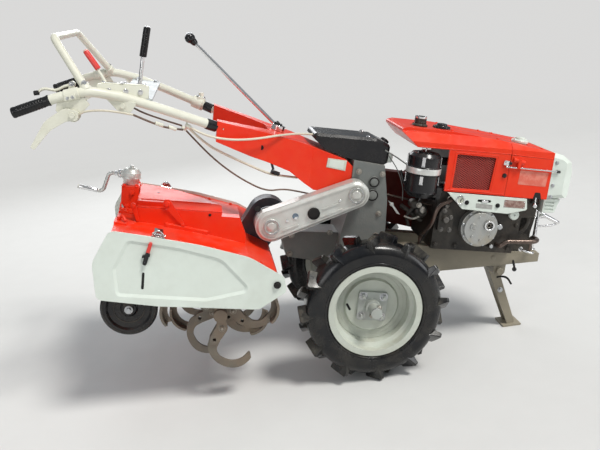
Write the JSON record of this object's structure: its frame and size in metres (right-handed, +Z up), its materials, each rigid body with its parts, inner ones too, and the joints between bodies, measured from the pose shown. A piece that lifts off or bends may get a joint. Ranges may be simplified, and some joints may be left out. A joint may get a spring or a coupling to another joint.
{
  "type": "walking tractor with rotary tiller",
  "caption": "Two-wheel walking tractor with long handles, upright gearbox, front diesel engine under a hood, and a rear rotary tiller with gauge wheel, parked on its front stand.",
  "frame": {"origin": "on the floor under the middle of the machine's length and width", "axes": "+X forward, +Y to the machine's left, +Z up; the machine is pitched nose down 11 degrees on its stand"},
  "size_m": [1.9285, 0.7886, 1.3227],
  "materials": {
    "red_paint": "glossy enamel",
    "white_paint": "glossy enamel",
    "cream_paint": "semi-gloss enamel",
    "grey_paint": "semi-gloss enamel, dusty",
    "black_cover": "satin",
    "silver_cast": "bare casting",
    "dark_cast": "oily casting",
    "engine_mass": "oily casting",
    "wheel_paint": "semi-gloss enamel",
    "tyre_rubber": "glossy black",
    "grip_rubber": "satin",
    "bright_steel": "worn bare steel",
    "chrome": "polished",
    "cable_sheath": "satin",
    "dark_sheath": "satin"
  },
  "bodies": {
    "chassis": {"handle_column": "red_paint", "tiller_hood": "red_paint", "hood": "red_paint", "mesh_panel_right": "red_paint", "mesh_panel_left": "red_paint", "engine_mesh_right": "red_paint", "engine_mesh_left": "red_paint", "radiator_housing": "red_paint", "gauge_guide": "red_paint", "belt_guard": "red_paint", "tiller_lever": "red_paint", "tiller_panel_right": "white_paint", "tiller_panel_left": "white_paint", "front_cowl": "white_paint", "skirt_panel": "white_paint", "handlebar_right": "cream_paint", "handlebar_left": "cream_paint", "handle_loop": "cream_paint", "cross_plate": "cream_paint", "clutch_bracket_right": "cream_paint", "clutch_bracket_left": "cream_paint", "side_clutch_lever_right": "cream_paint", "side_clutch_lever_left": "cream_paint", "throttle_lever": "cream_paint", "gearbox": "grey_paint", "axle_housings": "grey_paint", "rear_hitch": "grey_paint", "chassis": "grey_paint", "lower_grille": "grey_paint", "top_cover": "black_cover", "air_cleaner": "black_cover", "chain_case": "silver_cast", "crank_head": "silver_cast", "gear_case": "silver_cast", "crank_handle": "silver_cast", "tiller_drive": "dark_cast", "exhaust": "dark_cast", "engine_pipes": "dark_cast", "engine_block": "engine_mass", "grip_right": "grip_rubber", "grip_left": "grip_rubber", "filler_caps": "bright_steel", "front_guard": "chrome", "clutch_lever": "chrome", "shift_lever": "chrome", "shift_cable": "cable_sheath", "clutch_cable": "cable_sheath", "throttle_cable": "dark_sheath"},
    "wheel_right": {"rim_right": "wheel_paint", "tyre_right": "tyre_rubber", "hub_right": "bright_steel"},
    "wheel_left": {"rim_left": "wheel_paint", "tyre_left": "tyre_rubber", "hub_left": "bright_steel"},
    "tine_rotor": {"tine_rotor": "bright_steel"},
    "gauge_leg": {"gauge_leg": "dark_cast"},
    "gauge_wheel": {"gauge_wheel": "dark_cast"},
    "front_stand": {"front_stand": "bright_steel"}
  },
  "joints": [
    {"name": "wheel_right_spin", "type": "hinge", "parent": "chassis", "child": "wheel_right", "pos_m": [0.137, -0.29, 0.275], "axis": [0, 1, 0], "continuous": true},
    {"name": "wheel_left_spin", "type": "hinge", "parent": "chassis", "child": "wheel_left", "pos_m": [0.137, 0.29, 0.275], "axis": [0, 1, 0], "continuous": true},
    {"name": "tine_spin", "type": "hinge", "parent": "chassis", "child": "tine_rotor", "pos_m": [-0.40756, 0, 0.33501], "axis": [0, 1, 0], "continuous": true},
    {"name": "gauge_height", "type": "slide", "parent": "chassis", "child": "gauge_leg", "axis": [0.1908, 0, 0.9816], "range_m": [-0.06, 0.05]},
    {"name": "gauge_wheel_spin", "type": "hinge", "parent": "gauge_leg", "child": "gauge_wheel", "pos_m": [-0.75343, 0, 0.28509], "axis": [0, 1, 0], "continuous": true},
    {"name": "stand_fold", "type": "hinge", "parent": "chassis", "child": "front_stand", "pos_m": [0.68692, 0, 0.27405], "axis": [0, 1, 0], "range_deg": [0, 100]}
  ]
}
